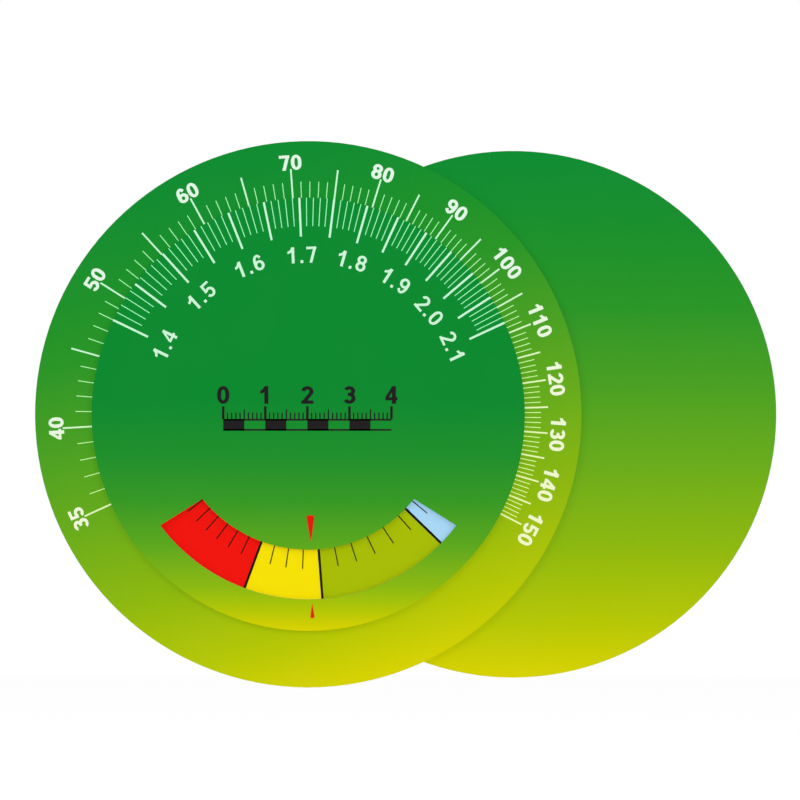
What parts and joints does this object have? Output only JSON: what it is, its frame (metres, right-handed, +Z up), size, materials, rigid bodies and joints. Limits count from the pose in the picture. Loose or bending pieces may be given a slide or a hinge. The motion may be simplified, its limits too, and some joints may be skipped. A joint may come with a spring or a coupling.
{
  "type": "log-scale wheel calculator",
  "caption": "Hand-held wheel calculator: a dial with a height scale and a window turns on a disc with a weight scale and an index band; a plain cover swings out behind.",
  "frame": {"origin": "on the axis of the wheel and dial, in the plane of the cover's flat back face", "axes": "+Y out of the flat back (the printed front faces -Y), +Z up across the dial, +X to the right, towards the swung-out cover"},
  "size_m": [0.1764, 0.0037, 0.13],
  "materials": {
    "white_core": "die-cut PVC sheet",
    "weight_print": "printed and laminated, green to yellow",
    "back_print": "printed and laminated, green to yellow",
    "height_print": "printed and laminated, green to yellow",
    "cover_print": "printed and laminated, green to yellow",
    "white_ink": "screen-printed ink",
    "black_ink": "screen-printed ink",
    "blue_ink": "screen-printed ink",
    "olive_ink": "screen-printed ink",
    "yellow_ink": "screen-printed ink",
    "red_ink": "screen-printed ink",
    "rivet_plastic": "moulded, white",
    "clear_pane": "clear, polished"
  },
  "bodies": {
    "wheel": {"weight_disc": "white_core", "weight_face": "weight_print", "weight_back": "back_print", "weight_scale": "white_ink", "index_scale": "black_ink", "index_zone_low": "blue_ink", "index_zone_normal": "olive_ink", "index_zone_over": "yellow_ink", "index_zone_high": "red_ink", "swing_rivet": "rivet_plastic", "swing_cap": "rivet_plastic"},
    "dial": {"height_disc": "white_core", "height_face": "height_print", "height_scale": "white_ink", "reading_pointers": "red_ink", "window_pane": "clear_pane", "hub_rivet": "rivet_plastic", "hub_cap": "rivet_plastic"},
    "cover": {"cover_disc": "white_core", "cover_face": "cover_print", "cover_back": "cover_print"}
  },
  "joints": [
    {"name": "dial_turn", "type": "hinge", "parent": "wheel", "child": "dial", "pos_m": [0, 0, 0], "axis": [0, 1, 0], "continuous": true},
    {"name": "cover_swing", "type": "hinge", "parent": "wheel", "child": "cover", "pos_m": [0.02435, 0, 0], "axis": [0, 1, 0], "continuous": true}
  ]
}
